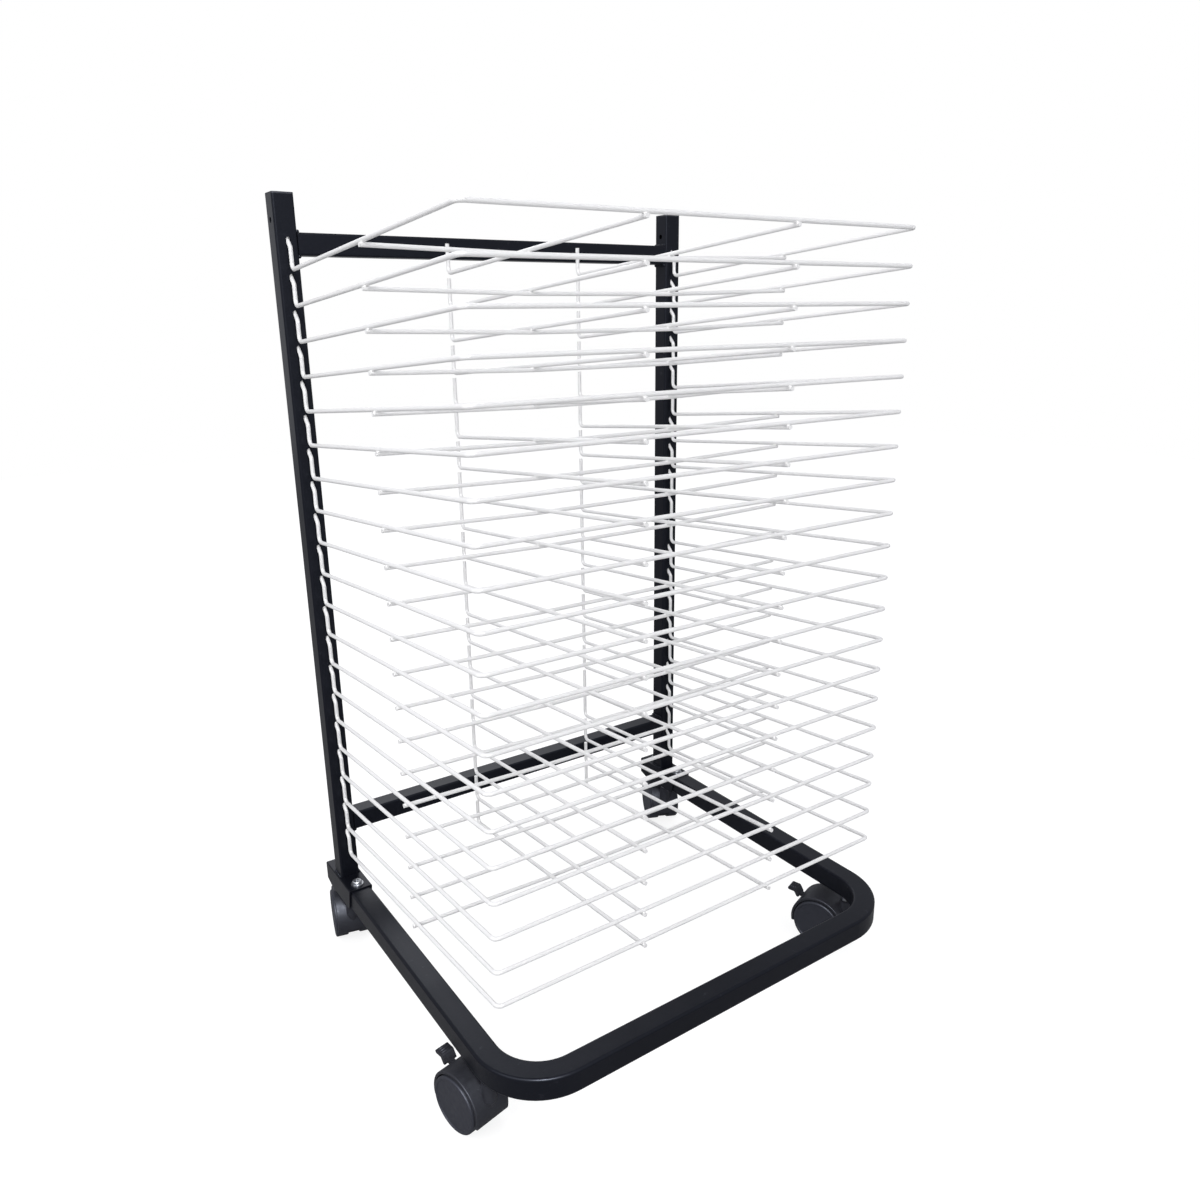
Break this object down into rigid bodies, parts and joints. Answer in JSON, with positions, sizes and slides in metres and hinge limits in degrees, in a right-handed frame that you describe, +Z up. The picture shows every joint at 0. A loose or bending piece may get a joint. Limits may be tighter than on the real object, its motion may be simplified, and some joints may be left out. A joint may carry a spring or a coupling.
{
  "type": "art drying rack",
  "caption": "Free-standing drying rack: slotted square-tube posts on a U-shaped base with twin-wheel casters, carrying sloping wire shelves hooked into the posts.",
  "frame": {"origin": "on the floor, under the middle of the whole footprint with its casters", "axes": "+Z up, +X to the rack's right seen from its open front, -Y towards the open front where sheets go in"},
  "size_m": [0.4864, 0.4191, 0.745],
  "materials": {
    "frame_black": "satin black powder coat",
    "shelf_white": "gloss white powder coat",
    "plug_black": "matt moulded",
    "hood_black": "satin moulded",
    "wheel_black": "satin moulded",
    "lever_black": "satin moulded",
    "zinc_steel": "bright zinc plated"
  },
  "bodies": {
    "frame": {"post_left": "frame_black", "post_right": "frame_black", "rail_top": "frame_black", "rail_lower": "frame_black", "post_caps": "plug_black", "saddle_left": "frame_black", "saddle_right": "frame_black", "base_frame": "frame_black", "base_end_plugs": "plug_black", "saddle_screws": "zinc_steel", "saddle_nuts": "zinc_steel", "caster_stems": "zinc_steel", "caster_inserts": "zinc_steel"},
    "caster_front_left": {"caster_body_front_left": "hood_black", "caster_axle_front_left": "zinc_steel", "brake_pin_front_left": "zinc_steel"},
    "caster_front_right": {"caster_body_front_right": "hood_black", "caster_axle_front_right": "zinc_steel", "brake_pin_front_right": "zinc_steel"},
    "caster_rear_left": {"caster_body_rear_left": "hood_black", "caster_axle_rear_left": "zinc_steel"},
    "caster_rear_right": {"caster_body_rear_right": "hood_black", "caster_axle_rear_right": "zinc_steel"},
    "wheel_a_front_left": {"caster_wheel_a_front_left": "wheel_black"},
    "wheel_b_front_left": {"caster_wheel_b_front_left": "wheel_black"},
    "brake_front_left": {"brake_lever_front_left": "lever_black"},
    "wheel_a_front_right": {"caster_wheel_a_front_right": "wheel_black"},
    "wheel_b_front_right": {"caster_wheel_b_front_right": "wheel_black"},
    "brake_front_right": {"brake_lever_front_right": "lever_black"},
    "wheel_a_rear_left": {"caster_wheel_a_rear_left": "wheel_black"},
    "wheel_b_rear_left": {"caster_wheel_b_rear_left": "wheel_black"},
    "wheel_a_rear_right": {"caster_wheel_a_rear_right": "wheel_black"},
    "wheel_b_rear_right": {"caster_wheel_b_rear_right": "wheel_black"},
    "shelf_01": {"shelf_01": "shelf_white"},
    "shelf_02": {"shelf_02": "shelf_white"},
    "shelf_03": {"shelf_03": "shelf_white"},
    "shelf_04": {"shelf_04": "shelf_white"},
    "shelf_05": {"shelf_05": "shelf_white"},
    "shelf_06": {"shelf_06": "shelf_white"},
    "shelf_07": {"shelf_07": "shelf_white"},
    "shelf_08": {"shelf_08": "shelf_white"},
    "shelf_09": {"shelf_09": "shelf_white"},
    "shelf_10": {"shelf_10": "shelf_white"},
    "shelf_11": {"shelf_11": "shelf_white"},
    "shelf_12": {"shelf_12": "shelf_white"},
    "shelf_13": {"shelf_13": "shelf_white"},
    "shelf_14": {"shelf_14": "shelf_white"},
    "shelf_15": {"shelf_15": "shelf_white"},
    "shelf_16": {"shelf_16": "shelf_white"},
    "shelf_17": {"shelf_17": "shelf_white"},
    "shelf_18": {"shelf_18": "shelf_white"},
    "shelf_19": {"shelf_19": "shelf_white"},
    "shelf_20": {"shelf_20": "shelf_white"}
  },
  "joints": [
    {"name": "swivel_front_left", "type": "hinge", "parent": "frame", "child": "caster_front_left", "pos_m": [-0.21098, -0.14592, 0.062], "axis": [0, 0, 1], "continuous": true},
    {"name": "swivel_front_right", "type": "hinge", "parent": "frame", "child": "caster_front_right", "pos_m": [0.21098, -0.14592, 0.062], "axis": [0, 0, 1], "continuous": true},
    {"name": "swivel_rear_left", "type": "hinge", "parent": "frame", "child": "caster_rear_left", "pos_m": [-0.211, 0.1584, 0.062], "axis": [0, 0, 1], "continuous": true},
    {"name": "swivel_rear_right", "type": "hinge", "parent": "frame", "child": "caster_rear_right", "pos_m": [0.211, 0.1584, 0.062], "axis": [0, 0, 1], "continuous": true},
    {"name": "spin_a_front_left", "type": "hinge", "parent": "caster_front_left", "child": "wheel_a_front_left", "pos_m": [-0.21589, -0.12263, 0.025], "axis": [0.9785, 0.2062, 0], "continuous": true},
    {"name": "spin_b_front_left", "type": "hinge", "parent": "caster_front_left", "child": "wheel_b_front_left", "pos_m": [-0.21589, -0.12263, 0.025], "axis": [0.9785, 0.2062, 0], "continuous": true},
    {"name": "brake_front_left", "type": "hinge", "parent": "caster_front_left", "child": "brake_front_left", "pos_m": [-0.21753, -0.11483, 0.04001], "axis": [-0.9785, -0.2062, 0], "range_deg": [0, 14]},
    {"name": "spin_a_front_right", "type": "hinge", "parent": "caster_front_right", "child": "wheel_a_front_right", "pos_m": [0.20268, -0.12362, 0.025], "axis": [0.9373, 0.3486, 0], "continuous": true},
    {"name": "spin_b_front_right", "type": "hinge", "parent": "caster_front_right", "child": "wheel_b_front_right", "pos_m": [0.20268, -0.12362, 0.025], "axis": [0.9373, 0.3486, 0], "continuous": true},
    {"name": "brake_front_right", "type": "hinge", "parent": "caster_front_right", "child": "brake_front_right", "pos_m": [0.1999, -0.11614, 0.04001], "axis": [-0.9373, -0.3486, 0], "range_deg": [0, 14]},
    {"name": "spin_a_rear_left", "type": "hinge", "parent": "caster_rear_left", "child": "wheel_a_rear_left", "pos_m": [-0.20565, 0.18159, 0.025], "axis": [0.9744, -0.225, 0], "continuous": true},
    {"name": "spin_b_rear_left", "type": "hinge", "parent": "caster_rear_left", "child": "wheel_b_rear_left", "pos_m": [-0.20565, 0.18159, 0.025], "axis": [0.9744, -0.225, 0], "continuous": true},
    {"name": "spin_a_rear_right", "type": "hinge", "parent": "caster_rear_right", "child": "wheel_a_rear_right", "pos_m": [0.22068, 0.18014, 0.025], "axis": [0.9135, -0.4067, 0], "continuous": true},
    {"name": "spin_b_rear_right", "type": "hinge", "parent": "caster_rear_right", "child": "wheel_b_rear_right", "pos_m": [0.22068, 0.18014, 0.025], "axis": [0.9135, -0.4067, 0], "continuous": true},
    {"name": "tilt_shelf_01", "type": "hinge", "parent": "frame", "child": "shelf_01", "pos_m": [0, 0.1536, 0.7051], "axis": [-1, 0, 0], "range_deg": [0, 80]},
    {"name": "tilt_shelf_02", "type": "hinge", "parent": "frame", "child": "shelf_02", "pos_m": [0, 0.1536, 0.6751], "axis": [-1, 0, 0], "range_deg": [0, 3.8]},
    {"name": "tilt_shelf_03", "type": "hinge", "parent": "frame", "child": "shelf_03", "pos_m": [0, 0.1536, 0.6451], "axis": [-1, 0, 0], "range_deg": [0, 3.8]},
    {"name": "tilt_shelf_04", "type": "hinge", "parent": "frame", "child": "shelf_04", "pos_m": [0, 0.1536, 0.6151], "axis": [-1, 0, 0], "range_deg": [0, 3.8]},
    {"name": "tilt_shelf_05", "type": "hinge", "parent": "frame", "child": "shelf_05", "pos_m": [0, 0.1536, 0.5851], "axis": [-1, 0, 0], "range_deg": [0, 3.8]},
    {"name": "tilt_shelf_06", "type": "hinge", "parent": "frame", "child": "shelf_06", "pos_m": [0, 0.1536, 0.5551], "axis": [-1, 0, 0], "range_deg": [0, 3.8]},
    {"name": "tilt_shelf_07", "type": "hinge", "parent": "frame", "child": "shelf_07", "pos_m": [0, 0.1536, 0.5251], "axis": [-1, 0, 0], "range_deg": [0, 3.8]},
    {"name": "tilt_shelf_08", "type": "hinge", "parent": "frame", "child": "shelf_08", "pos_m": [0, 0.1536, 0.4951], "axis": [-1, 0, 0], "range_deg": [0, 3.8]},
    {"name": "tilt_shelf_09", "type": "hinge", "parent": "frame", "child": "shelf_09", "pos_m": [0, 0.1536, 0.4651], "axis": [-1, 0, 0], "range_deg": [0, 3.8]},
    {"name": "tilt_shelf_10", "type": "hinge", "parent": "frame", "child": "shelf_10", "pos_m": [0, 0.1536, 0.4351], "axis": [-1, 0, 0], "range_deg": [0, 3.8]},
    {"name": "tilt_shelf_11", "type": "hinge", "parent": "frame", "child": "shelf_11", "pos_m": [0, 0.1536, 0.4051], "axis": [-1, 0, 0], "range_deg": [0, 3.8]},
    {"name": "tilt_shelf_12", "type": "hinge", "parent": "frame", "child": "shelf_12", "pos_m": [0, 0.1536, 0.3751], "axis": [-1, 0, 0], "range_deg": [0, 3.8]},
    {"name": "tilt_shelf_13", "type": "hinge", "parent": "frame", "child": "shelf_13", "pos_m": [0, 0.1536, 0.3451], "axis": [-1, 0, 0], "range_deg": [0, 3.8]},
    {"name": "tilt_shelf_14", "type": "hinge", "parent": "frame", "child": "shelf_14", "pos_m": [0, 0.1536, 0.3151], "axis": [-1, 0, 0], "range_deg": [0, 3.8]},
    {"name": "tilt_shelf_15", "type": "hinge", "parent": "frame", "child": "shelf_15", "pos_m": [0, 0.1536, 0.2851], "axis": [-1, 0, 0], "range_deg": [0, 3.8]},
    {"name": "tilt_shelf_16", "type": "hinge", "parent": "frame", "child": "shelf_16", "pos_m": [0, 0.1536, 0.2551], "axis": [-1, 0, 0], "range_deg": [0, 3.8]},
    {"name": "tilt_shelf_17", "type": "hinge", "parent": "frame", "child": "shelf_17", "pos_m": [0, 0.1536, 0.2251], "axis": [-1, 0, 0], "range_deg": [0, 3.8]},
    {"name": "tilt_shelf_18", "type": "hinge", "parent": "frame", "child": "shelf_18", "pos_m": [0, 0.1536, 0.1951], "axis": [-1, 0, 0], "range_deg": [0, 3.8]},
    {"name": "tilt_shelf_19", "type": "hinge", "parent": "frame", "child": "shelf_19", "pos_m": [0, 0.1536, 0.1651], "axis": [-1, 0, 0], "range_deg": [0, 3.8]},
    {"name": "tilt_shelf_20", "type": "hinge", "parent": "frame", "child": "shelf_20", "pos_m": [0, 0.1536, 0.1351], "axis": [-1, 0, 0], "range_deg": [0, 3.8]}
  ]
}
